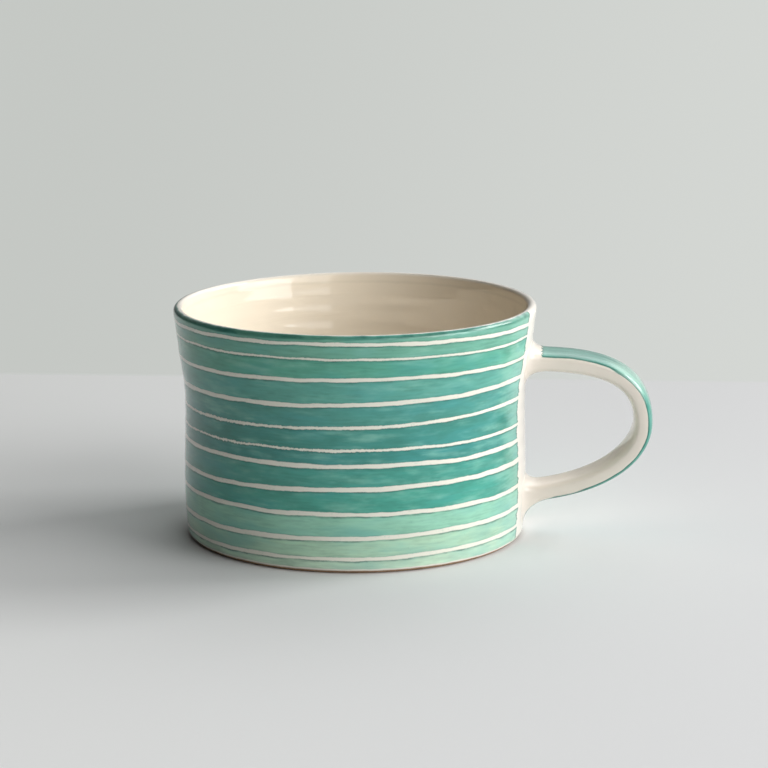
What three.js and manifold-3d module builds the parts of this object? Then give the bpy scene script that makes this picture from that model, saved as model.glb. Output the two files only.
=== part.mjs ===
// A hand-thrown ceramic mug: a wide, low cup, a pulled strap handle, and the two collars of
// soft clay that join the handle's ends to the wall. Millimetres, +Z up. The origin is on the
// cup's axis in the foot plane, and the handle points along +X.

import * as THREE from 'three';
import { mergeVertices } from 'three/addons/utils/BufferGeometryUtils.js';
import Module from 'manifold-3d';

const wasm = await Module();
wasm.setup();

// Cup, outside
const cupHeight = 68; // foot plane to the crest of the lip
const rimRadius = 52.5;
const waistRadius = 49.5; // narrowest ring of the wall, where the flare starts
const flareDepth = 27; // from the lip down to the waist
const bellyRadius = 49.9;
const bellyHeight = 16;
const footRadius = 49.3;
const footBevel = 1.2; // wiped edge round the foot

// Cup, inside
const lipThickness = 2.8;
const heelThickness = 4.6; // wall thickness down at the floor
const floorThickness = 5.5;
const insideCorner = 9; // radius between the wall and the floor

// Handle strap, measured at its centre line
const upperRootDrop = 16.4; // below the lip
const lowerRootHeight = 11.9;
const handleReach = 34.3; // from the waist out to the bow
const bowShare = 0.545; // the bow's place between the lower root and the upper one
const shoulderPull = 0.45; // how far the upper limb runs level, as a share of its reach
const kneePull = 0.69; // how far out the lower limb turns, as a share of its reach
const kneeDrop = 0.43; // how far the bow runs straight down, as a share of its height
const kneeRise = 1.4; // the lower limb's lift on its way out of the wall
const strapWidth = 16;
const tailWidth = 13;
const strapThickness = 5.7;
const tailThickness = 5.1;
const taperStart = 0.45; // the strap keeps its full section up to here, as a share of its length
const sectionPower = 3.6; // 2 is an ellipse, and more is squarer

// Collars of clay round the two roots
const luteGap = 0.3; // between the wall, the strap and the collars
const collarLength = 7; // along the strap, from the wall
const collarEdge = 0.6; // a collar's thickness at its outer end
const upperCollarRise = 3.6; // spread on the wall, above the strap
const upperCollarFall = 3.2; // spread on the wall, under the strap
const lowerCollarRise = 2.2;
const tailLift = 2.2; // the thumbed tail ends this far above the foot plane
const collarSpread = 1.8; // spread on the wall at each side

// Fineness
const wallSteps = 12;
const turnSegments = 72;
const strapSteps = 30;
const collarSteps = 7;
const sectionSides = 24;
const lipSteps = 6;
const cornerSteps = 5;
const rootEmbed = 3.5; // stock inside the wall line, cut away to fit the wall
const cutterMargin = 1; // the cutting solid goes this far past the foot and the lip
const mergeDistance = 1e-4;

const side = new THREE.Vector3(0, 1, 0);

// The outside of the wall, from the foot's bevel up to the lip's shoulder, as radius and height.
const waistHeight = cupHeight - flareDepth;
const lipRadius = lipThickness / 2;
const shoulderHeight = cupHeight - lipRadius;
const outerWall = new THREE.SplineCurve([
  new THREE.Vector2(footRadius, footBevel),
  new THREE.Vector2(bellyRadius, bellyHeight),
  new THREE.Vector2(waistRadius, waistHeight),
  new THREE.Vector2((waistRadius + rimRadius) / 2, (waistHeight + shoulderHeight) / 2),
  new THREE.Vector2(rimRadius, shoulderHeight),
]).getPoints(wallSteps);

function outerRadiusAt(height) {
  const above = outerWall.findIndex((p) => p.y >= height);
  if (above < 0) return rimRadius;
  if (above === 0) return footRadius;
  const low = outerWall[above - 1];
  const high = outerWall[above];
  return THREE.MathUtils.mapLinear(height, low.y, high.y, low.x, high.x);
}

function wallThicknessAt(height) {
  const depth = (shoulderHeight - height) / (shoulderHeight - floorThickness);
  return THREE.MathUtils.lerp(lipThickness, heelThickness, depth);
}

// Points on a circle's arc, both ends included.
function arc(centreX, centreY, radius, from, to, steps) {
  return Array.from({ length: steps + 1 }, (_, i) => {
    const angle = THREE.MathUtils.lerp(from, to, i / steps);
    return new THREE.Vector2(
      centreX + radius * Math.cos(angle),
      centreY + radius * Math.sin(angle),
    );
  });
}

// Turns a profile of radius and height round the Z axis.
function turned(profile) {
  return new THREE.LatheGeometry(profile, turnSegments).rotateX(Math.PI / 2);
}

function cupGeometry() {
  const lip = arc(rimRadius - lipRadius, shoulderHeight, lipRadius, 0, Math.PI, lipSteps);
  const cornerHeight = floorThickness + insideCorner;
  const innerRadiusAt = (height) => outerRadiusAt(height) - wallThicknessAt(height);
  const innerWall = outerWall
    .filter((p) => p.y > cornerHeight && p.y < shoulderHeight)
    .map((p) => new THREE.Vector2(innerRadiusAt(p.y), p.y))
    .reverse();
  const cornerCentre = innerRadiusAt(cornerHeight) - insideCorner;
  const corner = arc(
    cornerCentre, cornerHeight, insideCorner, 0, -Math.PI / 2, cornerSteps,
  );
  return turned([
    new THREE.Vector2(0, 0),
    new THREE.Vector2(footRadius - footBevel, 0),
    ...outerWall,
    ...lip.slice(1),
    ...innerWall,
    ...corner,
    new THREE.Vector2(0, floorThickness),
  ]);
}

// Everything within luteGap of the cup's outside, as one solid with no hollow.
function wallEnvelope() {
  const offset = outerWall.map((p) => new THREE.Vector2(p.x + luteGap, p.y));
  const last = offset[offset.length - 1];
  return turned([
    new THREE.Vector2(0, -cutterMargin),
    new THREE.Vector2(footRadius + luteGap, -cutterMargin),
    ...offset,
    new THREE.Vector2(last.x, cupHeight + cutterMargin),
    new THREE.Vector2(0, cupHeight + cutterMargin),
  ]);
}

// The strap's centre line: out of the wall, over the shoulder, round the bow and back in.
const upperRootHeight = cupHeight - upperRootDrop;
const bowX = waistRadius + handleReach;
const bowHeight = THREE.MathUtils.lerp(lowerRootHeight, upperRootHeight, bowShare);
const upperStart = outerRadiusAt(upperRootHeight) - rootEmbed;
const lowerEnd = outerRadiusAt(lowerRootHeight) - rootEmbed;

function strapLine() {
  const at = (x, z) => new THREE.Vector3(x, 0, z);
  const { lerp } = THREE.MathUtils;
  const line = new THREE.CurvePath();
  line.add(new THREE.CubicBezierCurve3(
    at(upperStart, upperRootHeight),
    at(lerp(upperStart, bowX, shoulderPull), upperRootHeight),
    at(bowX, upperRootHeight),
    at(bowX, bowHeight),
  ));
  line.add(new THREE.CubicBezierCurve3(
    at(bowX, bowHeight),
    at(bowX, lerp(bowHeight, lowerRootHeight, kneeDrop)),
    at(lerp(lowerEnd, bowX, kneePull), lowerRootHeight + kneeRise),
    at(lowerEnd, lowerRootHeight),
  ));
  return line;
}

const handleLine = strapLine();
const lineLength = handleLine.getLength();

// Half the strap's width and thickness at a share t of its length.
function strapHalves(t) {
  const taper = THREE.MathUtils.smoothstep(t, taperStart, 1);
  return {
    width: THREE.MathUtils.lerp(strapWidth, tailWidth, taper) / 2,
    thickness: THREE.MathUtils.lerp(strapThickness, tailThickness, taper) / 2,
  };
}

// One section across the line at t. It reaches outer away from the loop's inside, inner
// towards it, and half to each side.
function sectionRing(t, half, outer, inner) {
  const centre = handleLine.getPoint(t);
  const outward = handleLine.getTangent(t).cross(side);
  const squared = (value) => Math.sign(value) * Math.abs(value) ** (2 / sectionPower);
  return Array.from({ length: sectionSides }, (_, i) => {
    const angle = (2 * Math.PI * i) / sectionSides;
    const across = half * squared(Math.cos(angle));
    const lift = squared(Math.sin(angle)) * (Math.sin(angle) > 0 ? outer : inner);
    return centre.clone().addScaledVector(side, across).addScaledVector(outward, lift);
  });
}

// Skins a row of equal rings and closes both ends.
function lofted(rings) {
  const sides = rings[0].length;
  const last = (rings.length - 1) * sides;
  const middle = (ring) => {
    const sum = ring.reduce((total, p) => total.add(p), new THREE.Vector3());
    return sum.divideScalar(sides);
  };
  const points = [...rings.flat(), middle(rings[0]), middle(rings[rings.length - 1])];
  const faces = [];
  for (let i = 0; i < sides; i++) {
    const next = (i + 1) % sides;
    for (let row = 0; row < last; row += sides) {
      faces.push(row + i, row + next, row + sides + next);
      faces.push(row + i, row + sides + next, row + sides + i);
    }
    faces.push(last + sides, next, i);
    faces.push(last + sides + 1, last + i, last + next);
  }
  return new THREE.BufferGeometry().setFromPoints(points).setIndex(faces);
}

// The strap's skin, grown all round by a margin.
function strapGeometry(margin) {
  const rings = Array.from({ length: strapSteps + 1 }, (_, i) => {
    const t = i / strapSteps;
    const { width, thickness } = strapHalves(t);
    return sectionRing(t, width + margin, thickness + margin, thickness + margin);
  });
  return lofted(rings);
}

// The rings of a collar's outer skin: the strap's section and an edge, spreading towards the
// wall. tAt turns a distance from the inner end of the stock into a share of the line's length.
function collarRings(tAt, outerSpread, innerSpread) {
  return Array.from({ length: collarSteps + 1 }, (_, i) => {
    const distance = ((rootEmbed + collarLength) * i) / collarSteps;
    const t = tAt(distance);
    const { width, thickness } = strapHalves(t);
    const fromWall = Math.max(0, (distance - rootEmbed) / collarLength);
    const spread = (1 - fromWall) ** 2;
    const skin = luteGap + collarEdge;
    return sectionRing(
      t,
      width + skin + collarSpread * spread,
      thickness + skin + outerSpread * spread,
      thickness + skin + innerSpread * spread,
    );
  });
}

function solidOf(geometry) {
  const bare = geometry.clone();
  bare.deleteAttribute('normal');
  bare.deleteAttribute('uv');
  const merged = mergeVertices(bare, mergeDistance);
  return new wasm.Manifold(new wasm.Mesh({
    numProp: 3,
    vertProperties: merged.attributes.position.array,
    triVerts: new Uint32Array(merged.index.array),
  }));
}

function geometryOf(solid) {
  const mesh = solid.getMesh();
  return new THREE.BufferGeometry()
    .setAttribute('position', new THREE.BufferAttribute(mesh.vertProperties, 3))
    .setIndex(new THREE.BufferAttribute(mesh.triVerts, 1));
}

function strap() {
  const blank = solidOf(strapGeometry(0));
  return geometryOf(blank.subtract(solidOf(wallEnvelope())));
}

function collar(rings) {
  const blank = solidOf(lofted(rings));
  const fitted = blank.subtract(solidOf(strapGeometry(luteGap)));
  return geometryOf(fitted.subtract(solidOf(wallEnvelope())));
}

function upperCollar() {
  const tAt = (distance) => distance / lineLength;
  return collar(collarRings(tAt, upperCollarRise, upperCollarFall));
}

// The lower collar's rings run towards the wall, as the line does there.
function lowerCollar() {
  const tAt = (distance) => 1 - distance / lineLength;
  const skin = tailThickness / 2 + luteGap + collarEdge;
  const tailFall = lowerRootHeight - skin - tailLift;
  return collar(collarRings(tAt, tailFall, lowerCollarRise).reverse());
}

const glazedGreen = { color: 0x6fa892, roughness: 0.2, metalness: 0 };
const glazedCream = { color: 0xe6ded0, roughness: 0.2, metalness: 0 };

const group = new THREE.Group();

function addNode(name, geometry, finish) {
  const mesh = new THREE.Mesh(geometry, new THREE.MeshStandardMaterial(finish));
  mesh.name = name;
  group.add(mesh);
}

addNode('cup_body', cupGeometry(), glazedGreen);
addNode('handle_strap', strap(), glazedCream);
addNode('upper_joint_collar', upperCollar(), glazedCream);
addNode('lower_joint_collar', lowerCollar(), glazedCream);

export default group;
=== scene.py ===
# %% [markdown]
# # A striped mug, made the way a potter makes one
#
# A wide, low mug: a thrown cup, a pulled strap handle joined on with soft clay, green washes
# brushed between thin lines of wax resist, and a clear gloss glaze over the lot.
#
# The CAD model fixes the sizes. This lesson builds the surfaces that an eye and a hand find on
# the real pot, inside those sizes, one piece and one finish at a time.

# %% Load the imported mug
import math

import bpy
import numpy as np
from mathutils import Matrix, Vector, noise
from mathutils.bvhtree import BVHTree


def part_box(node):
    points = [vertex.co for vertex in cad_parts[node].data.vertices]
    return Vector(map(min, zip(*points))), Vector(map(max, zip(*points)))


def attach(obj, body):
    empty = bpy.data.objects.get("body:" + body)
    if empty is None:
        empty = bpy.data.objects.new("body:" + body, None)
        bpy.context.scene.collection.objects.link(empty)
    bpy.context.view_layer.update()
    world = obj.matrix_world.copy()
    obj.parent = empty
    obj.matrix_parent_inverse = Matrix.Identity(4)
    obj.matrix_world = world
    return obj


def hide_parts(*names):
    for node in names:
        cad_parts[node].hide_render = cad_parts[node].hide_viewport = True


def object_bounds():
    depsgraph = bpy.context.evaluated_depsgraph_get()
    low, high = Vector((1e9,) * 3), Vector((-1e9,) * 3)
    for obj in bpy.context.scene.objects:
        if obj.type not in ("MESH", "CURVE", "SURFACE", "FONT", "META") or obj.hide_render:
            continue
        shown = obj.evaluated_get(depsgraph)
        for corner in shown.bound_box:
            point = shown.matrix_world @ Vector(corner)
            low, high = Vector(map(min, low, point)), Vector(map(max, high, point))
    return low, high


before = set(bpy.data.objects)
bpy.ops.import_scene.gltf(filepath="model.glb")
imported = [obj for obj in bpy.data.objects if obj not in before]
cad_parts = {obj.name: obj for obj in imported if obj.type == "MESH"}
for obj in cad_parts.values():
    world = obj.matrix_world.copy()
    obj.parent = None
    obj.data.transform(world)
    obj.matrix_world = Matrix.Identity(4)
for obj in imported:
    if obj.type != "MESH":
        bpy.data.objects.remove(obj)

MM = 0.001
cad_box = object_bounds()
cad_size = [round((high - low) / MM, 1) for low, high in zip(*cad_box)]
print("CAD size in mm:", cad_size)

# %% [markdown]
# ## Two small helpers for node trees
#
# Shaders and Geometry Nodes are graphs, but their sums read best as formulas. `Flow` wraps one
# output socket, and Python's operators on it add Math nodes, so `1 - mask` or `height * 0.5`
# can be written as they are said. Every other node comes from `Tree.add`, which takes the
# node's type, its settings and what feeds its sockets. Both kinds of tree share them.

# %% Helpers that turn formulas into nodes
class Flow:
    """One output socket. Arithmetic on it adds Math nodes to its tree."""

    def __init__(self, tree, socket):
        self.tree = tree
        self.socket = socket

    def math(self, operation, *values):
        settings = {"operation": operation}
        return self.tree.add("ShaderNodeMath", settings, dict(enumerate(values)))

    def out(self, name):
        return Flow(self.tree, self.socket.node.outputs[name])

    def __add__(self, other):
        return self.math("ADD", self, other)

    def __radd__(self, other):
        return self.math("ADD", other, self)

    def __sub__(self, other):
        return self.math("SUBTRACT", self, other)

    def __rsub__(self, other):
        return self.math("SUBTRACT", other, self)

    def __mul__(self, other):
        return self.math("MULTIPLY", self, other)

    def __rmul__(self, other):
        return self.math("MULTIPLY", other, self)

    def __truediv__(self, other):
        return self.math("DIVIDE", self, other)

    def __pow__(self, other):
        return self.math("POWER", self, other)

    def __gt__(self, other):
        return self.math("GREATER_THAN", self, other)

    def __abs__(self):
        return self.math("ABSOLUTE", self)

    def floor(self):
        return self.math("FLOOR", self)

    def root(self):
        return self.math("SQRT", self)

    def sine(self):
        return self.math("SINE", self)

    def cosine(self):
        return self.math("COSINE", self)


class Tree:
    """A node tree and the one method that adds nodes to it."""

    def __init__(self, tree):
        self.tree = tree

    def add(self, kind, settings=None, inputs=None, output=0):
        node = self.tree.nodes.new(kind)
        for name, value in (settings or {}).items():
            setattr(node, name, value)
        for key, value in (inputs or {}).items():
            if isinstance(value, Flow):
                self.tree.links.new(value.socket, node.inputs[key])
            else:
                node.inputs[key].default_value = value
        return Flow(self, node.outputs[output]) if node.outputs else node

    def rise(self, value, low, high):
        """0 below low, 1 above high, and a smooth step between."""
        inputs = {"Value": value, "From Min": low, "From Max": high}
        return self.add("ShaderNodeMapRange", {"interpolation_type": "SMOOTHSTEP"}, inputs)

    def stretched(self, place, scale):
        """place times a scale for each axis."""
        return self.add("ShaderNodeVectorMath", {"operation": "MULTIPLY"}, {0: place, 1: scale})

    def mottle(self, place, scale=1.0, detail=2.0, roughness=0.5):
        """Noise between -1 and 1, mostly near 0."""
        inputs = {"Vector": place, "Scale": scale, "Detail": detail, "Roughness": roughness}
        return self.add("ShaderNodeTexNoise", None, inputs) * 2 - 1

    def blend(self, share, first, second):
        """Colour first where share is 0, second where it is 1."""
        settings = {"data_type": "RGBA", "clamp_factor": True}
        inputs = {0: share, 6: first, 7: second}
        return self.add("ShaderNodeMix", settings, inputs, output=2)


# %% [markdown]
# ## The cup's outline
#
# A thrown cup is a body of revolution, so all of it is in one half-section. The CAD cup already
# has that outline in its vertices. This walks it along one edge row, from the centre of the
# foot, up the outside, over the lip and down to the centre of the floor, so nothing is measured
# twice. A smooth curve through those points then gives the rows of the fine mesh. The two
# corners of the foot are not smoothed but eased, as a wet sponge would leave them.

# %% Read the half-section from the CAD cup
def half_section(node):
    """(radius, height) in metres along the outline of a turned CAD piece, foot to floor."""
    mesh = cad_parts[node].data
    keys = [tuple(round(c / MM, 3) for c in v.co) for v in mesh.vertices]
    away_from_handle = [abs(y) < 0.01 and x < 0.01 for x, y, z in keys]
    linked = {}
    for face in mesh.polygons:
        ring = [i for i in face.vertices if away_from_handle[i]]
        for i in ring:
            linked.setdefault(keys[i], set()).update(keys[j] for j in ring if j != i)
    outline = [min(linked, key=lambda key: (round(abs(key[0]), 1), key[2]))]
    while True:
        ahead = [key for key in linked[outline[-1]] if key not in outline and key != outline[-1]]
        if not ahead:
            return [(-x * MM, z * MM) for x, y, z in outline]
        outline.append(min(ahead, key=lambda key: math.dist(key, outline[-1])))


outline = half_section("cup_body")
crest = max(range(len(outline)), key=lambda i: outline[i][1])
height = outline[crest][1]
rim_radius = max(r for r, z in outline)
print(len(outline), "outline points, height", round(height / MM, 2), "mm")

# %% Smooth the outline into the rows of the fine mesh
ROW_STEP = 1.15 * MM
DISC_STEP = 3.5 * MM
LIP_ROWS = 4
LIP_DEPTH = 1.6 * MM
FLOOR_SPAN = 20 * MM  # only the step across the floor is longer than this
FOOT_EASE = 0.7 * MM


def catmull(a, b, c, d, steps):
    """Points from b up to c, on the smooth curve that also heads for a and d."""
    t = np.linspace(0, 1, steps, endpoint=False)[:, None]
    spans = [max(math.dist(p, q), 1e-6) ** 0.5 for p, q in ((a, b), (b, c), (c, d))]
    knots = np.cumsum([0] + spans)
    u = knots[1] + t * (knots[2] - knots[1])
    a, b, c, d = (np.array(p) for p in (a, b, c, d))
    mix = lambda p, q, i, j: ((knots[j] - u) * p + (u - knots[i]) * q) / (knots[j] - knots[i])
    ab, bc, cd = mix(a, b, 0, 1), mix(b, c, 1, 2), mix(c, d, 2, 3)
    return mix(mix(ab, bc, 0, 2), mix(bc, cd, 1, 3), 1, 2)


def eased_corner(before, corner, after, size, steps=4):
    """A short curve that cuts a corner, starting size before it and ending size after it."""
    corner = np.array(corner)
    into = (corner - before) / math.dist(corner, before)
    onward = (after - corner) / math.dist(corner, after)
    start, end = corner - into * size, corner + onward * size
    t = np.linspace(0, 1, steps + 1)[:, None]
    return (1 - t) ** 2 * start + 2 * t * (1 - t) * corner + t ** 2 * end


def straight(start, end, step):
    count = max(1, round(math.dist(start, end) / step))
    return np.linspace(start, end, count, endpoint=False)


def fine_profile(points):
    centre, inner_edge, outer_edge, above = points[:4]
    foot = eased_corner(np.array(centre), inner_edge, np.array(outer_edge), FOOT_EASE)
    side = eased_corner(np.array(inner_edge), outer_edge, np.array(above), FOOT_EASE)
    rows = [straight(centre, foot[0], DISC_STEP), foot, side[:-1]]
    wall = [tuple(side[-1])] + points[3:]
    wall = [wall[0]] + wall + [wall[-1]]
    for a, b, c, d in zip(wall, wall[1:], wall[2:], wall[3:]):
        on_lip = min(b[1], c[1]) > height - LIP_DEPTH
        across_floor = math.dist(b, c) > FLOOR_SPAN
        step = DISC_STEP if across_floor else ROW_STEP
        count = LIP_ROWS if on_lip else max(1, round(math.dist(b, c) / step))
        rows.append(catmull(a, b, c, d, count))
    rows.append(np.array([wall[-1]]))
    return np.concatenate(rows)


profile = fine_profile(outline)
profile[0, 0] = 0
profile[-1, 0] = 0
run = np.concatenate([[0], np.cumsum(np.hypot(*np.diff(profile, axis=0).T))])
lip_row = int(profile[:, 1].argmax())
lip_run = run[lip_row]
print(len(profile), "rows over", round(run[-1] / MM, 1), "mm, lip at", round(lip_run / MM, 1))

# %% [markdown]
# ## The cup as a lathe in Geometry Nodes
#
# One rule makes the whole cup: take the half-section and turn it. Blender's Spin or Screw
# could do that once, but a node tree keeps the rule visible and its sizes adjustable. The
# tree lays out a flat grid, one column for each step of the turn and one row for each point
# of the outline, and then moves every grid point to its place.
#
# The same tree adds what a wheel and a hand leave behind: shallow spiral throwing rings, a rim
# that is not quite round, and a slight dip in its height on the side away from the handle.

# %% Store the outline as a mesh for the tree to read
def outline_mesh(name, points, numbers):
    """A mesh of loose edges along the points, with one number per point for each name."""
    mesh = bpy.data.meshes.new(name)
    edges = [(i, i + 1) for i in range(len(points) - 1)]
    mesh.from_pydata([(r, 0, z) for r, z in points], edges, [])
    for key, values in numbers.items():
        attribute = mesh.attributes.new(key, "FLOAT", "POINT")
        attribute.data.foreach_set("value", np.asarray(values, dtype=np.float32))
    return mesh


# The finish shows most on the outer wall, so that part gets most of the map's height. The
# run along the outline starts at the foot's centre, so it equals the radius until the edge.
INNER_SHARE = 0.45
RINGS_FADE = 8 * MM
foot_radius = outline[1][0]
steps = np.diff(run)
middle = (profile[1:, 0] + profile[:-1, 0]) / 2
is_outer_wall = (np.arange(len(steps)) < lip_row + 6) & (middle > 0.98 * foot_radius)
weights = steps * np.where(is_outer_wall, 1.0, INNER_SHARE)
bake_v = 0.01 + 0.98 * np.concatenate([[0], np.cumsum(weights)]) / weights.sum()
past_foot = np.clip((run - foot_radius - 3 * MM) / RINGS_FADE, 0, 1)
off_lip = np.clip((np.abs(run - lip_run) - 3 * MM) / RINGS_FADE, 0, 1)
on_wall = np.clip((profile[:, 0] - 0.86 * foot_radius) / (3 * MM), 0, 1)

cup = bpy.data.objects.new("thrown_cup", outline_mesh("thrown_cup", profile, {
    "run": run / MM, "bake_v": bake_v, "rings": past_foot * off_lip * on_wall}))
bpy.context.scene.collection.objects.link(cup)
wall_share = float(weights[is_outer_wall].sum() / weights.sum())
print("the outer wall takes", round(wall_share, 2), "of the map's height")

# %% Build the lathe tree
OVAL_TURN = 1.1  # where the cup is widest, in radians of its doubled angle
DIP_BEARING = math.radians(160)  # 0 is the handle's side
WELD = 2e-5


def group_with_inputs(name, inputs):
    """A Geometry Nodes group and {input name: socket identifier}."""
    group = bpy.data.node_groups.new(name, "GeometryNodeTree")
    face = group.interface
    face.new_socket("Geometry", in_out="INPUT", socket_type="NodeSocketGeometry")
    face.new_socket("Geometry", in_out="OUTPUT", socket_type="NodeSocketGeometry")
    ids = {}
    for key, kind in inputs.items():
        socket = face.new_socket(key, in_out="INPUT", socket_type="NodeSocket" + kind)
        ids[key] = socket.identifier
    return group, ids


def lathe_tree():
    group, ids = group_with_inputs("lathe", {
        "Turns": "Int", "Ring Depth": "Float", "Ring Pitch": "Float", "Out of Round": "Float",
        "Rim Dip": "Float", "Cup Height": "Float", "Seed": "Float", "Glaze": "Material"})
    t = Tree(group)
    given = t.add("NodeGroupInput")
    section, turns = given.out("Geometry"), given.out("Turns")
    rows = t.add("GeometryNodeAttributeDomainSize", {"component": "MESH"}, {0: section})
    grid = t.add("GeometryNodeMeshGrid", None, {
        "Size X": 1.0, "Size Y": 1.0, "Vertices X": turns + 1, "Vertices Y": rows})
    index = t.add("GeometryNodeInputIndex")
    column = ((index + 0.5) / rows).floor()
    row = index - column * rows
    angle = column / turns * (2 * math.pi)

    def of_row(value, kind="FLOAT"):
        settings = {"data_type": kind, "domain": "POINT"}
        inputs = {"Geometry": section, "Value": value, "Index": row}
        return t.add("GeometryNodeSampleIndex", settings, inputs)

    def named(name):
        return t.add("GeometryNodeInputNamedAttribute", {"data_type": "FLOAT"}, {"Name": name})

    place = t.add("ShaderNodeSeparateXYZ", None,
                  {0: of_row(t.add("GeometryNodeInputPosition"), "FLOAT_VECTOR")})
    radius, level = place.out("X"), place.out("Z")
    share = level / given.out("Cup Height")

    # Throwing rings climb in one spiral, and come and go as the hand's pressure did.
    phase = level / given.out("Ring Pitch") * (2 * math.pi) - angle
    drift = t.add("ShaderNodeCombineXYZ", None, {
        0: angle.cosine(), 1: angle.sine(), 2: level * 90})
    pressure = t.add("ShaderNodeTexNoise", {"noise_dimensions": "4D"}, {
        "Vector": drift, "W": given.out("Seed"), "Scale": 1.1, "Detail": 2.0})
    # Each row has a share of the ring depth: none at the foot, the lip and the floor.
    ring = (phase + pressure * 4).sine() * pressure * of_row(named("rings"))
    oval = (angle * 2 + OVAL_TURN).cosine() * share * given.out("Out of Round")
    turned = radius * (1 + oval) + ring * given.out("Ring Depth")
    dip = (angle - DIP_BEARING).cosine() * 0.5 + 0.5
    lowered = level - given.out("Rim Dip") * dip * dip * share ** 4
    spot = t.add("ShaderNodeCombineXYZ", None, {
        0: turned * angle.cosine(), 1: turned * angle.sine(), 2: lowered})

    shape = t.add("GeometryNodeSetPosition", None, {"Geometry": grid, "Position": spot})
    unwrap = t.add("ShaderNodeCombineXYZ", None, {0: column / turns, 1: of_row(named("bake_v"))})
    # Index counts corners in a corner field, so the map is worked out on the points first.
    unwrap = t.add("GeometryNodeFieldOnDomain", {"data_type": "FLOAT_VECTOR", "domain": "POINT"},
                   {0: unwrap})
    shape = t.add("GeometryNodeStoreNamedAttribute", {"data_type": "FLOAT2", "domain": "CORNER"},
                  {"Geometry": shape, "Name": "OFBake", "Value": unwrap})
    shape = t.add("GeometryNodeStoreNamedAttribute", {"data_type": "FLOAT", "domain": "POINT"},
                  {"Geometry": shape, "Name": "wall_run", "Value": of_row(named("run"))})
    shape = t.add("GeometryNodeMergeByDistance", None, {"Geometry": shape, "Distance": WELD})
    shape = t.add("GeometryNodeSetShadeSmooth", None, {"Geometry": shape})
    shape = t.add("GeometryNodeSetMaterial", None, {
        "Geometry": shape, "Material": given.out("Glaze")})
    t.add("NodeGroupOutput", None, {"Geometry": shape})
    return group, ids


lathe, lathe_ids = lathe_tree()
print(len(lathe.nodes), "nodes in the lathe")

# %% [markdown]
# ## The glaze on the cup
#
# On the real pot each thin pale line is wax resist: the potter spins the pot, touches it with
# a loaded brush, and the green wash then beads off the wax. So a line is bare cream clay under
# clear glaze, the wash pools into a darker rim along it, and no line is quite level. The shader
# needs no picture wrapped on the cup. It works in the cup's own height and
# direction, so a line is a height with a slight lean, and the same sums serve every line.

# %% The wash, line by line
# One wax line each: height in mm at the front, how much it rises towards the handle, how much
# it sags at the two sides, its width, and how much it thins and breaks up far from the handle.
LINES = (
    (65.6, 0.1, 1.4, 1.2, 0.2),
    (61.3, 0.3, 0.7, 0.8, 0.3),
    (55.4, 0.8, 1.1, 1.3, 0.1),
    (48.2, 1.5, 0.2, 1.5, 0.1),
    (41.6, 1.6, 0.1, 1.15, 0.5),
    (35.3, 0.4, 0.5, 1.05, 0.7),
    (30.8, 0.2, 0.5, 1.35, 0.1),
    (24.2, 1.3, 0.6, 1.5, 0.1),
    (17.2, 0.4, 0.6, 1.35, 0.0),
    (10.3, 1.1, 0.2, 1.45, 0.0),
    (4.5, 0.9, 0.1, 1.25, 0.2),
)
# The wash above the first line, then below each line in turn.
WASHES = (
    (0.16, 0.42, 0.31), (0.16, 0.43, 0.32), (0.10, 0.40, 0.29), (0.11, 0.39, 0.32),
    (0.075, 0.32, 0.27), (0.05, 0.28, 0.235), (0.045, 0.28, 0.25), (0.06, 0.34, 0.275),
    (0.06, 0.36, 0.28), (0.31, 0.63, 0.47), (0.47, 0.71, 0.52), (0.58, 0.78, 0.60),
)
CREAM = (0.82, 0.775, 0.70, 1.0)
INSIDE = (0.85, 0.765, 0.63, 1.0)
# The strap's cream is the cup's cream made darker: painted shade on the handle.
SHADED_STRAP_CREAM = (0.775, 0.71, 0.63, 1.0)
WAXED = (0.80, 0.78, 0.69, 1.0)
POOLED = (0.010, 0.095, 0.070, 1.0)
WATERY = (0.31, 0.62, 0.50, 1.0)
TEAL = (0.045, 0.30, 0.31, 1.0)
# The bare foot's browns: partly the clay's own colour, partly painted contact shade.
CONTACT_SHADED_CLAY = (0.30, 0.19, 0.115, 1.0)
CONTACT_SHADED_CLAY_PALE = (0.46, 0.33, 0.22, 1.0)
CUP_DUST = (0.70, 0.62, 0.49, 1.0)
# Painted shade for the faint darker ring inside, just below the flared lip.
PAINTED_RIM_SHADE = (0.42, 0.40, 0.30, 1.0)
STAINED_WAX = (0.45, 0.60, 0.50, 1.0)
PANEL_HALF = 14.4
COAT = 0.9
COAT_ROUGHNESS = 0.045
GLASS_IOR = 1.5
UNDER_SHINE = 0.08
BODY_ROUGHNESS = 0.38
BUMP_STRENGTH = 0.35
BUMP_DEPTH = 0.12 * MM


def new_material(name):
    material = bpy.data.materials.new(name)
    material.use_nodes = True
    material.node_tree.nodes.clear()
    return material, Tree(material.node_tree)


def surface(t, inputs):
    """The Principled surface and the output it feeds."""
    shader = t.add("ShaderNodeBsdfPrincipled", None, inputs)
    t.add("ShaderNodeOutputMaterial", None, {"Surface": shader})


def object_mm(t):
    """Object coordinates in millimetres."""
    place = t.add("ShaderNodeTexCoord").out("Object")
    return t.stretched(place, (1000.0, 1000.0, 1000.0))


def larger(a, b):
    return a.math("MAXIMUM", a, b)


def dust(t, where):
    """Faint brown clouds in the cream clay."""
    return t.rise(t.mottle(where, 0.55, 4.0, 0.7), 0.3, 0.8) * 0.22


def speckle(t, where):
    return t.mottle(where, 1.5, 2.0, 0.7)


def with_specks(t, specks, colour):
    return t.blend(t.rise(specks, 0.28, 0.62) * 0.16, colour, POOLED)


def clear_glaze(t, colour, roughness, coat, relief):
    """The gloss over either piece. Almost all of its shine is in the coat."""
    bump = t.add("ShaderNodeBump", None, {
        "Strength": BUMP_STRENGTH, "Distance": BUMP_DEPTH, "Height": relief})
    surface(t, {
        "Base Color": colour, "Roughness": roughness, "Coat Weight": coat,
        "Coat Roughness": COAT_ROUGHNESS, "Coat IOR": GLASS_IOR,
        "Specular IOR Level": UNDER_SHINE, "Normal": bump})


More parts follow.
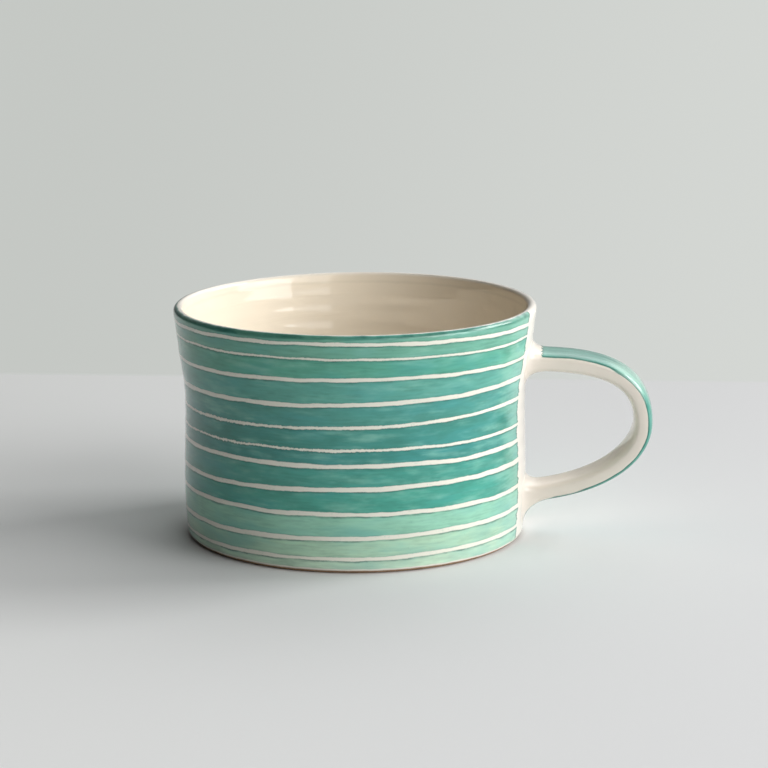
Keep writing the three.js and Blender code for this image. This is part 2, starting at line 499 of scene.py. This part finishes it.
cup_glaze, t = new_material("painted_glaze")
where = object_mm(t)
xyz = t.add("ShaderNodeSeparateXYZ", None, {0: where})
x, y, z = xyz.out("X"), xyz.out("Y"), xyz.out("Z")
reach = larger((x * x + y * y).root(), 1.0)
east, north = x / reach, y / reach
around = t.add("ShaderNodeCombineXYZ", None, {0: east, 1: north, 2: z * 0.02})

slow = t.mottle(t.stretched(around, (3.0, 3.0, 7.0)), 1.0, 2.0)
quick_hand = t.mottle(t.stretched(around, (13.0, 13.0, 22.0)), 1.0, 3.0)
painted_z = z + slow * 0.55 + quick_hand * 0.10
fat_or_thin = 0.88 + t.mottle(t.stretched(around, (6.0, 6.0, 25.0)), 1.0, 3.0) * 0.45
ragged = t.mottle(where, 0.9, 3.0, 0.6) * 0.09

wash = (*WASHES[0], 1.0)
wax, pool = 0.0, 0.0
far_side = 0.5 - east * 0.5
crumbs = t.mottle(where, 1.1, 2.0, 0.7)
for (line_z, lean, sag, width, worn), below in zip(LINES, WASHES[1:]):
    centre = line_z + east * lean - east * east * sag
    under = centre - painted_z
    wash = t.blend(t.rise(under, -0.3, 0.3), wash, (*below, 1.0))
    wear = far_side * worn
    off_line = abs(under + ragged) - fat_or_thin * (1 - wear * 0.6) * (width / 2)
    off_line = off_line + crumbs * wear * 0.9
    on_line = 1 - t.rise(off_line, -0.16, 0.14)
    rim_width = 0.42 + (under > 0) * 0.30
    rim = (1 - t.rise(off_line, 0.06, rim_width)) * (0.45 + (under > 0) * 0.45)
    wax, pool = larger(on_line, wax), larger(rim, pool)
print(len(LINES), "lines,", len(cup_glaze.node_tree.nodes), "nodes so far")

# %% Brush marks, the bare panel under the handle, and the places the wash doesn't reach
streak = t.mottle(t.stretched(around, (3.4, 3.4, 22.0)), 1.0, 3.0, 0.55)
fine_streak = t.mottle(t.stretched(around, (9.0, 9.0, 80.0)), 1.0, 3.0, 0.55)
patch = t.mottle(t.stretched(around, (5.0, 5.0, 12.0)), 1.0, 3.0, 0.55)
broad = t.mottle(t.stretched(around, (2.0, 2.0, 7.0)), 1.0, 2.0)
specks = speckle(t, where)

brush_end = abs(y) + t.mottle(t.stretched(where, (0.1, 0.1, 0.32)), 1.0, 3.0, 0.6) * 2.6
to_handle = t.rise(x, 0.0, 5.0)
in_panel = to_handle * (1 - t.rise(brush_end, PANEL_HALF - 0.25, PANEL_HALF + 0.35))
near_panel = to_handle * (1 - t.rise(brush_end, PANEL_HALF + 0.5, PANEL_HALF + 17.0))
panel_rim = to_handle * t.rise(brush_end, PANEL_HALF - 0.1, PANEL_HALF + 0.3)
panel_rim = panel_rim * (1 - t.rise(brush_end, PANEL_HALF + 0.4, PANEL_HALF + 1.3))
dabs = t.mottle(t.stretched(where, (0.16, 0.16, 0.55)), 1.0, 2.0, 0.5)
reworked = near_panel * t.rise(dabs, 0.05, 0.5)

teal = t.rise(broad + patch * 0.4, -0.15, 0.55)
wash = t.blend(teal * 0.5, wash, TEAL)
thin = t.rise(streak + patch * 0.7 + near_panel * 1.1, -0.15, 0.95)
wash = t.blend(thin * 0.55, wash, WATERY)
thick = t.rise(fine_streak * 0.5 - patch * 0.7 - broad * 0.4, -0.35, 0.9)
wash = t.blend(thick * 0.5, wash, POOLED)
wash = with_specks(t, specks, wash)
wash = t.blend(reworked * 0.3, wash, TEAL)

along = t.add("ShaderNodeAttribute", {"attribute_name": "wall_run"}, output=2)
lip = round(lip_run / MM, 2)
foot = round(foot_radius / MM, 2)
below_lip = lip - along + quick_hand * 0.5
lip_pool = 1 - t.rise(abs(below_lip - 1.3 + streak), 0.3, 1.0)
wetter = t.rise(patch + quick_hand, -0.35, 0.45) * 0.65 + 0.35
pool = larger(pool * wetter, larger(panel_rim * 0.75, lip_pool * wetter * 0.8))
wash = t.blend(pool * 0.85, wash, POOLED)
past_bare = t.rise(along + quick_hand * 0.3, foot + 1.6, foot + 2.0)
outside = t.rise(below_lip, 0.15, 0.55) * past_bare
# A faint darker ring a little below the lip inside is painted shade, where the rim flares out.
painted_shade_ring = 1 - t.rise(abs(along - lip - 3.6 + quick_hand * 0.3), 0.1, 0.7)

cream = t.blend(t.rise(along, lip, lip + 2.0), CREAM, INSIDE)
cream = t.blend(dust(t, where), cream, CUP_DUST)
cream = t.blend(painted_shade_ring * 0.12, cream, PAINTED_RIM_SHADE)
waxed = t.blend(t.rise(fine_streak + specks, 0.1, 0.9) * 0.5, WAXED, STAINED_WAX)
colour = t.blend(wax, wash, waxed)
colour = t.blend(in_panel, colour, cream)
colour = t.blend(outside, cream, colour)
# The bare clay of the foot is a dark brown that is partly the clay's own colour and partly painted
# contact shade where the cup meets the floor.
bare = 1 - t.rise(along + quick_hand * 0.25, foot + 1.0, foot + 1.5)
clay_grain = t.mottle(where, 2.2, 5.0, 0.75)
clay = t.blend(t.rise(clay_grain, -0.2, 0.5), CONTACT_SHADED_CLAY, CONTACT_SHADED_CLAY_PALE)
colour = t.blend(bare, colour, clay)

glazed = 1 - bare
relief = pool * -0.15 + wax * 0.25 + fine_streak * 0.12 + slow * 0.4
relief = relief * glazed + clay_grain * bare * 1.2
clear_glaze(t, colour, BODY_ROUGHNESS + bare * 0.5 + specks * 0.05, glazed * COAT, relief)
print(len(cup_glaze.node_tree.nodes), "nodes in the cup's glaze")

# %% Turn the cup
def turned_piece(obj, group, ids, values):
    """Runs a tree on obj and leaves the result as its plain mesh."""
    modifier = obj.modifiers.new(group.name, "NODES")
    modifier.node_group = group
    for key, value in values.items():
        modifier[ids[key]] = value
    evaluated = obj.evaluated_get(bpy.context.evaluated_depsgraph_get())
    mesh = bpy.data.meshes.new_from_object(evaluated)
    obj.modifiers.remove(modifier)
    obj.data = mesh
    mesh.name = obj.name
    return mesh


cup_mesh = turned_piece(cup, lathe, lathe_ids, {
    "Turns": 288, "Ring Depth": 0.09 * MM, "Ring Pitch": 5.2 * MM, "Out of Round": 0.0025,
    "Rim Dip": 0.9 * MM, "Cup Height": height, "Seed": 4.0, "Glaze": cup_glaze})
print("cup:", len(cup_mesh.vertices), "points,", len(cup_mesh.polygons), "faces",
      [round(d / MM, 2) for d in cup.dimensions])

# %% [markdown]
# ## The handle and its two joints
#
# The handle is a strap pulled from a lump of clay, pressed on to the cup and smoothed into it
# with wet clay, so strap and wall have no seam between them. A swept curve with a bevel would
# give the strap, but its ends would stop flat against a round wall. Here one mesh runs from
# inside the wall to inside the wall. Its sections follow a curved centre line, and near each
# end they are laid out on the cup itself, at a set distance from its surface, and swell into
# a fillet. Rays cast at the finished cup say where its surface is.

# %% The handle's centre line, from the sizes in the CAD
STRAP_THICK = 5.7 * MM
TAIL_THICK = 5.1 * MM
TAIL_WIDTH = 13.0 * MM
ROOT_DEPTH = 3.5 * MM
TAIL_CLEARANCE = 0.3 * MM
BOW_SHARE = 0.545  # the bow's place between the lower root and the upper one
SHOULDER_PULL = 0.45
KNEE_DROP = 0.43
KNEE_PULL = 0.69
KNEE_RISE = 1.4 * MM
FILLET_REACH = 3.2 * MM

strap_low, strap_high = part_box("handle_strap")
upper_low, upper_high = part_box("upper_joint_collar")
lower_low, lower_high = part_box("lower_joint_collar")
strap_width = strap_high.y - strap_low.y
top_z = strap_high.z - STRAP_THICK / 2
bow_x = strap_high.x - STRAP_THICK / 2
tail_z = strap_low.z + TAIL_THICK / 2 - TAIL_CLEARANCE
cup_surface = BVHTree.FromPolygons([v.co for v in cup_mesh.vertices],
                                   [p.vertices for p in cup_mesh.polygons])


def wall_radius(angle, z):
    """How far the cup's outer surface is from its axis, in one direction at one height."""
    away = Vector((math.cos(angle), math.sin(angle), 0))
    start = away * 3 * rim_radius + Vector((0, 0, z))
    return 3 * rim_radius - cup_surface.ray_cast(start, -away)[3]


def bezier(points, count=300):
    t = np.linspace(0, 1, count)[:, None]
    a, b, c, d = (np.array(p) for p in points)
    return (1 - t) ** 3 * a + 3 * t * (1 - t) ** 2 * b + 3 * t * t * (1 - t) * c + t ** 3 * d


def centre_line():
    """Points in the plane of the handle (x, z), from inside the wall round to inside it."""
    upper_x = wall_radius(0, top_z) - ROOT_DEPTH
    lower_x = wall_radius(0, tail_z) - ROOT_DEPTH
    bow_z = tail_z + (top_z - tail_z) * BOW_SHARE
    shoulder_x = upper_x + (bow_x - upper_x) * SHOULDER_PULL
    knee_x = lower_x + (bow_x - lower_x) * KNEE_PULL
    knee_z = bow_z + (tail_z - bow_z) * KNEE_DROP
    shoulder = bezier([(upper_x, top_z), (shoulder_x, top_z), (bow_x, top_z), (bow_x, bow_z)])
    knee = bezier([(bow_x, bow_z), (bow_x, knee_z), (knee_x, tail_z + KNEE_RISE),
                   (lower_x, tail_z)])
    return np.concatenate([shoulder, knee[1:]])


line = centre_line()
line_run = np.concatenate([[0], np.cumsum(np.hypot(*np.diff(line, axis=0).T))])
from_wall = line[:, 0] - np.interp(line[:, 1], [tail_z, top_z],
                                   [wall_radius(0, tail_z), wall_radius(0, top_z)])
outside_wall = np.flatnonzero(from_wall > 0)
enters, leaves = line_run[outside_wall[0]], line_run[outside_wall[-1]]
strap_run = leaves - enters
print("strap is", round(strap_run / MM, 1), "mm from wall to wall")

# %% Sections along the line, flaring into the wall
SECTION_POINTS = 56
SECTION_POWER = 4.6
CROWN = 0.13
NEAR_WALL = (-1.5, -0.4, 0.0, 0.12, 0.3, 0.6, 1.0, 1.5, 2.1, 2.9, 3.8, 4.9, 6.2, 7.6)
OPEN_SECTIONS = 60
BLEND_RUN = 8.0 * MM
TAPER_START = 0.45
UNEVEN = 0.25 * MM
turn = np.linspace(0, 2 * math.pi, SECTION_POINTS, endpoint=False) - math.pi / 2


def smooth(t):
    t = np.clip(t, 0, 1)
    return t * t * (3 - 2 * t)


def section(half_width, half_thick):
    """A rounded strap section: (sideways, outwards) points and the directions they face."""
    power = 2 / SECTION_POWER
    side = np.sign(np.cos(turn)) * np.abs(np.cos(turn)) ** power
    out = np.sign(np.sin(turn)) * np.abs(np.sin(turn)) ** power
    crowned = out * (1 - CROWN * side ** 2)
    points = np.stack([side * half_width, crowned * half_thick], 1)
    along = np.roll(points, -1, 0) - np.roll(points, 1, 0)
    facing = np.stack([along[:, 1], -along[:, 0]], 1)
    return points, facing / np.linalg.norm(facing, axis=1)[:, None], side, out


def flare(facing, distance, sideways, outer, inner, reach):
    """How far the fillet stands off the strap, this far from the wall."""
    grow = sideways + (outer - sideways) * np.maximum(facing[:, 1], 0) ** 2
    grow = grow + (inner - sideways) * np.maximum(-facing[:, 1], 0) ** 2
    left = np.clip(1 - max(distance, 0) / (reach + 0.5 * grow), 0, 1)
    return grow * (1 - np.sqrt(1 - left ** 2))


half_strap = strap_width / 2
upper_flare = (upper_high.y - half_strap, upper_high.z - top_z - STRAP_THICK / 2,
               top_z - STRAP_THICK / 2 - upper_low.z, FILLET_REACH)
lower_flare = (lower_high.y - TAIL_WIDTH / 2, tail_z - TAIL_THICK / 2 - lower_low.z,
               lower_high.z - tail_z - TAIL_THICK / 2, FILLET_REACH)
near = np.array(NEAR_WALL) * MM
between = np.linspace(near[-1], strap_run - near[-1], OPEN_SECTIONS + 2)[1:-1]
ring_runs = np.concatenate([near, between, strap_run - near[::-1]])


def ring_at(distance):
    """One ring of points, and its across, face and facing numbers."""
    here = enters + distance
    centre = np.array([np.interp(here, line_run, line[:, i]) for i in (0, 1)])
    ahead = np.array([np.interp(here + 0.3 * MM, line_run, line[:, i]) for i in (0, 1)])
    behind = np.array([np.interp(here - 0.3 * MM, line_run, line[:, i]) for i in (0, 1)])
    forward = (ahead - behind) / np.linalg.norm(ahead - behind)
    outward = np.array([-forward[1], forward[0]])
    taper = float(smooth((distance / strap_run - TAPER_START) / (1 - TAPER_START)))
    uneven = noise.noise(Vector((distance * 70, 3.1, 0.4))) * UNEVEN
    half_width = (strap_width + (TAIL_WIDTH - strap_width) * taper) / 2 + uneven
    half_thick = (STRAP_THICK + (TAIL_THICK - STRAP_THICK) * taper) / 2
    points, facing, side, out = section(half_width, half_thick)
    at_top = distance < strap_run / 2
    gap = distance if at_top else strap_run - distance
    stands_off = flare(facing, gap, *(upper_flare if at_top else lower_flare))
    points = points + facing * stands_off[:, None]
    on_wall = float(1 - smooth(gap / BLEND_RUN))
    ring = []
    for across, up in points:
        x, z = centre + outward * up
        angle = across / rim_radius
        reach = wall_radius(angle, min(max(z, 1.6 * MM), height - 4 * MM)) + gap
        laid = np.array([reach * math.cos(angle), reach * math.sin(angle), z])
        ring.append(laid * on_wall + np.array([x, across, z]) * (1 - on_wall))
    return ring, side, out


rings = [ring_at(distance) for distance in ring_runs]
print(len(rings), "sections of", SECTION_POINTS, "points")

# %% Skin the sections into one closed piece
def skin(name, rings, runs):
    """Quads between the rings, a fan over each buried end, and a map for baking."""
    count = SECTION_POINTS
    points = [p for ring, side, out in rings for p in ring]
    last = (len(rings) - 1) * count
    points += [np.mean(rings[0][0], axis=0), np.mean(rings[-1][0], axis=0)]
    v = 0.02 + 0.96 * (runs - runs[0]) / (runs[-1] - runs[0])
    faces, uvs = [], []
    for i in range(len(rings) - 1):
        for k in range(count):
            n = (k + 1) % count
            here, ahead = i * count, (i + 1) * count
            faces.append((here + k, here + n, ahead + n, ahead + k))
            u, w = k / count, (k + 1) / count
            uvs += [(u, v[i]), (w, v[i]), (w, v[i + 1]), (u, v[i + 1])]
    for k in range(count):
        n = (k + 1) % count
        u, w = k / count, (k + 1) / count
        faces.append((len(points) - 2, n, k))
        uvs += [((u + w) / 2, 0.005), (w, v[0]), (u, v[0])]
        faces.append((len(points) - 1, last + k, last + n))
        uvs += [((u + w) / 2, 0.995), (u, v[-1]), (w, v[-1])]
    mesh = bpy.data.meshes.new(name)
    mesh.from_pydata([tuple(p) for p in points], [], faces)
    layer = mesh.uv_layers.new(name="OFBake")
    layer.data.foreach_set("uv", np.array(uvs, dtype=np.float32).ravel())
    ends = [0.0, 0.0]
    far_end = runs[-1] / MM
    from_top = np.repeat(runs / MM, count)
    from_tail = np.repeat((strap_run - runs) / MM, count)
    numbers = {
        "across": np.concatenate([side for ring, side, out in rings] + [ends]),
        "face": np.concatenate([out for ring, side, out in rings] + [ends]),
        "from_top": np.concatenate([from_top, [0, far_end]]),
        "from_tail": np.concatenate([from_tail, [far_end, 0]]),
    }
    for key, values in numbers.items():
        attribute = mesh.attributes.new(key, "FLOAT", "POINT")
        attribute.data.foreach_set("value", np.asarray(values, dtype=np.float32))
    mesh.shade_smooth()
    obj = bpy.data.objects.new(name, mesh)
    bpy.context.scene.collection.objects.link(obj)
    return obj


handle = skin("pulled_handle", rings, ring_runs)
print("handle:", len(handle.data.polygons), "faces", [round(d / MM, 2) for d in handle.dimensions])

# %% [markdown]
# ## The glaze on the handle
#
# The sides and the inner face of the strap are bare cream clay under clear glaze. One loaded
# brush stroke of green runs along the outer face, from just past the upper joint to just
# short of the lower one, with a ragged start and end. A pattern in space would slide off a
# curved strap, so the stroke is drawn in the strap's own numbers, stored when it was skinned:
# how far across, which face, and how far from each joint.

# %% A brush stroke along the strap
SHADED_HANDLE_DUST = (0.66, 0.58, 0.47, 1.0)
STROKE_DEEP = (0.04, 0.22, 0.175, 1.0)
STROKE_MIDDLE = (0.12, 0.38, 0.31, 1.0)
# Pale green for the shoulder: partly thinner paint, partly a painted highlight.
STROKE_PALE_AND_HIGHLIGHT = (0.42, 0.66, 0.55, 1.0)
STROKE_STREAK = (0.06, 0.22, 0.17, 1.0)
handle_glaze, t = new_material("cream_glaze")


def stored_number(name):
    return t.add("ShaderNodeAttribute", {"attribute_name": name}, output=2)


across, face = stored_number("across"), stored_number("face")
from_top, from_tail = stored_number("from_top"), stored_number("from_tail")
where = object_mm(t)
strap_place = t.add("ShaderNodeCombineXYZ", None, {0: across * 2.4, 1: from_top * 0.07, 2: face})
bristles = t.mottle(t.stretched(strap_place, (5.0, 1.6, 0.6)), 1.0, 4.0, 0.6)
pools = t.mottle(t.stretched(strap_place, (1.2, 1.6, 0.6)), 1.0, 2.0)
specks = speckle(t, where)
edge_shake = t.mottle(t.stretched(strap_place, (0.4, 3.2, 0.4)), 1.0, 3.0) * 0.07

wraps = t.rise(from_top, 20.0, 34.0) * t.rise(from_tail, 14.0, 30.0)
lower_half = t.rise(from_top, 40.0, 60.0)
narrows = 1 - t.rise(from_tail, 2.5, 9.0)
inward = abs(across) + edge_shake * 0.5 - 0.93 - wraps * 0.2
inward = inward - lower_half * 0.03 + narrows * 0.16
start = 3.3 - from_top + bristles * 1.6
end = 0.7 - from_tail + bristles * 0.8
off_stroke = larger(larger(inward * 8, (0.52 - face - edge_shake) * 4), larger(start, end))
stroke = 1 - t.rise(off_stroke, -0.12, 0.18)
stroke_rim = stroke * t.rise(off_stroke, -0.85, -0.15)
# A pale patch on the shoulder, where the strap faces the window: partly thinner paint, partly a
# painted highlight.
pale_lit_shoulder = 1 - t.rise(abs(from_top - 29.0 + pools * 6), 2.0, 9.0)

# The strap's cream and its dust are the cup's cream and dust made a little darker: painted shade
# on the handle.
cream = t.blend(dust(t, where), SHADED_STRAP_CREAM, SHADED_HANDLE_DUST)
green = t.blend(t.rise(bristles + pools, -0.7, 0.7), STROKE_DEEP, STROKE_MIDDLE)
green = t.blend(pale_lit_shoulder * 0.6, green, STROKE_PALE_AND_HIGHLIGHT)
green = t.blend(t.rise(pools - bristles, 0.15, 0.8) * 0.5, green, STROKE_STREAK)
green = with_specks(t, specks, green)
green = t.blend(stroke_rim * 0.65, green, POOLED)
colour = t.blend(stroke, cream, green)
relief = stroke * 0.1 + bristles * 0.15 + t.mottle(where, 0.12, 2.0) * 0.5
clear_glaze(t, colour, BODY_ROUGHNESS + specks * 0.05, COAT, relief)
handle.data.materials.append(handle_glaze)
print(len(handle_glaze.node_tree.nodes), "nodes in the handle's glaze")

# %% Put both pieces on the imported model
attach(cup, "root")
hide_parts("cup_body")
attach(handle, "root")
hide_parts("handle_strap", "upper_joint_collar", "lower_joint_collar")
print("2 pieces stand for", len(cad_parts), "CAD pieces")

# %% [markdown]
# ## Floor, light and camera
#
# A glossy pot is mostly seen by what it reflects, so the studio is simple: a pale floor that
# meets a grey screen of painted light glowing behind the mug, a window of four panes high on the
# right, two wide soft lights in front of it on the same side, and a room that is bright behind
# and dim on the left. The panes' highlights show that the glaze is glass, and the darker left
# side shows that the cup is round.

# %% The floor
BLACK = (0.0, 0.0, 0.0, 1.0)
floor_mesh = bpy.data.meshes.new("studio_floor")
corners = [(-3, -3, 0), (3, -3, 0), (3, 3, 0), (-3, 3, 0)]
floor_mesh.from_pydata(corners, [], [(0, 1, 2, 3)])
floor = bpy.data.objects.new("studio_floor", floor_mesh)
bpy.context.scene.collection.objects.link(floor)
floor_paint, t = new_material("studio_floor")
place = t.add("ShaderNodeSeparateXYZ", None, {0: object_mm(t)})
behind = t.rise(place.out("Y"), 207.0, 214.0)
grain = t.mottle(t.add("ShaderNodeTexCoord").out("Object"), 900.0, 2.0) * 0.5 + 0.5
# The paper is painted lighter on the dim left and darker on the lit right: painted light and shade
# that even out the lamps' falloff.
shade_painted_on_right = t.rise(place.out("X"), -160.0, 160.0)
paper = t.blend(shade_painted_on_right, (0.83, 0.84, 0.835, 1.0), (0.70, 0.705, 0.715, 1.0))
paper = t.blend(grain * 0.05, paper, (0.55, 0.56, 0.55, 1.0))
paper = t.blend(behind, paper, BLACK)
# Behind the mug the floor glows: a screen of painted light, brighter to the right.
sideways = t.rise(place.out("X") / larger(place.out("Y") + 780, 200.0), -0.16, 0.16)
painted_light_screen = t.blend(sideways, (0.535, 0.555, 0.53, 1.0), (0.63, 0.65, 0.625, 1.0))
glow = t.blend(behind, BLACK, painted_light_screen)
surface(t, {"Base Color": paper, "Roughness": 0.9, "Specular IOR Level": 0.2,
            "Emission Color": glow, "Emission Strength": 1.0})
floor_mesh.materials.append(floor_paint)

# %% The window and the room
middle_of_mug = Vector((0, 0, height / 2))
DAYLIGHT = (1.0, 0.995, 0.985)


def area_light(name, place, size, watts):
    """A soft rectangle of daylight, aimed at the mug."""
    data = bpy.data.lights.new(name, "AREA")
    data.shape, data.size, data.size_y = "RECTANGLE", *size
    data.energy, data.color = watts, DAYLIGHT
    light = bpy.data.objects.new(name, data)
    light.location = place
    aim = middle_of_mug - Vector(place)
    light.rotation_euler = aim.to_track_quat("-Z", "Y").to_euler()
    bpy.context.scene.collection.objects.link(light)
    return light


def from_bearing(distance, bearing, elevation):
    """A point this far from the mug. Bearing 0 is to the right and 90 is behind."""
    b, e = math.radians(bearing), math.radians(elevation)
    return (distance * math.cos(e) * math.cos(b), distance * math.cos(e) * math.sin(b),
            distance * math.sin(e))


for column, bearing in enumerate((12.5, 27.5)):
    for row, elevation in enumerate((25.5, 38.5)):
        name = f"window_pane_{column + 1}_{row + 1}"
        area_light(name, from_bearing(1.6, bearing, elevation), (0.34, 0.31), 3.5)
area_light("white_wall", from_bearing(1.5, -42, 28), (1.6, 1.0), 11.0)
area_light("near_curtain", from_bearing(1.5, -20, 20), (1.2, 0.8), 13.0)

# The room: bright behind and above, fading to the left, and nearly dark in front.
world = bpy.data.worlds.new("room")
world.use_nodes = True
t = Tree(world.node_tree)
world.node_tree.nodes.clear()
look = t.add("ShaderNodeSeparateXYZ", None, {0: t.add("ShaderNodeTexCoord").out("Generated")})
from_behind = t.rise(look.out("Y"), 0.2, 1.0)
high = t.rise(look.out("Z"), 0.15, 0.6)
on_right = t.rise(look.out("X"), -0.6, 0.4) * 0.88 + 0.12
room = t.blend(from_behind * on_right, (0.02, 0.02, 0.02, 1.0), (0.55, 0.56, 0.55, 1.0))
room = t.blend(from_behind * high * on_right, room, (2.6, 2.62, 2.6, 1.0))
background = t.add("ShaderNodeBackground", None, {"Color": room, "Strength": 1.0})
t.add("ShaderNodeOutputWorld", None, {"Surface": background})
bpy.context.scene.world = world
bpy.context.scene.view_settings.view_transform = "Standard"

# %% The camera
LENS, SENSOR = 128.63, 36
CAMERA_PLACE = (0.04933, -0.78020, 0.21344)
CAMERA_TILT, CAMERA_TURN = math.radians(77.725), math.radians(3)
camera_data = bpy.data.cameras.new("camera")
camera_data.lens = LENS
camera_data.sensor_width = SENSOR
camera_data.clip_start, camera_data.clip_end = 0.01, 20
camera = bpy.data.objects.new("camera", camera_data)
camera.location = CAMERA_PLACE
camera.rotation_euler = (CAMERA_TILT, 0, CAMERA_TURN)
bpy.context.scene.collection.objects.link(camera)
bpy.context.scene.camera = camera
